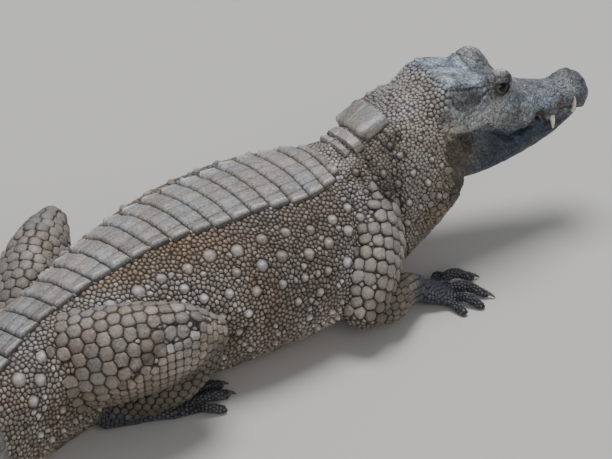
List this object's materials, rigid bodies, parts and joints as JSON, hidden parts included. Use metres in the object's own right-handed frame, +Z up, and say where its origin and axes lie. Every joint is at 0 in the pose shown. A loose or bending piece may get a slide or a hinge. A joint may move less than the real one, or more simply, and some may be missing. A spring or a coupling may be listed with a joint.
{
  "type": "dwarf crocodile",
  "caption": "Life-size still model of an adult dwarf crocodile lying on its belly, head raised and turned, legs folded, tail swung to one side.",
  "frame": {"origin": "on the floor under the middle of the trunk, at the belly's flat", "axes": "+X forward along the middle of the trunk, +Y to the animal's left, +Z up"},
  "size_m": [1.2455, 0.6445, 0.2243],
  "materials": {
    "hide": "dry grey-brown scaly hide, matte, slightly worn on the raised scales",
    "jaw_hide": "dark blue-grey pitted hide, low sheen",
    "foot_hide": "dark blue-grey fine-scaled hide, low sheen",
    "claw_horn": "pale grey-brown horn, satin",
    "eye": "very dark brown wet eye, glossy"
  },
  "bodies": {
    "root": {"tail_tip": "hide", "tail_fourth": "hide", "tail_third": "hide", "tail_second": "hide", "tail_root": "hide", "pelvis": "hide", "belly": "hide", "chest": "hide", "neck": "hide", "head": "hide", "lower_jaw": "jaw_hide", "eye_right": "eye", "eye_left": "eye", "thigh_right": "hide", "shank_right": "hide", "hind_foot_right": "foot_hide", "upper_arm_right": "hide", "forearm_right": "hide", "hand_right": "foot_hide", "claw_front_1_right": "claw_horn", "claw_front_2_right": "claw_horn", "claw_front_3_right": "claw_horn", "claw_hind_1_right": "claw_horn", "claw_hind_2_right": "claw_horn", "claw_hind_3_right": "claw_horn", "thigh_left": "hide", "shank_left": "hide", "hind_foot_left": "foot_hide", "upper_arm_left": "hide", "forearm_left": "hide", "hand_left": "foot_hide", "claw_front_1_left": "claw_horn", "claw_front_2_left": "claw_horn", "claw_front_3_left": "claw_horn", "claw_hind_1_left": "claw_horn", "claw_hind_2_left": "claw_horn", "claw_hind_3_left": "claw_horn"}
  },
  "joints": []
}
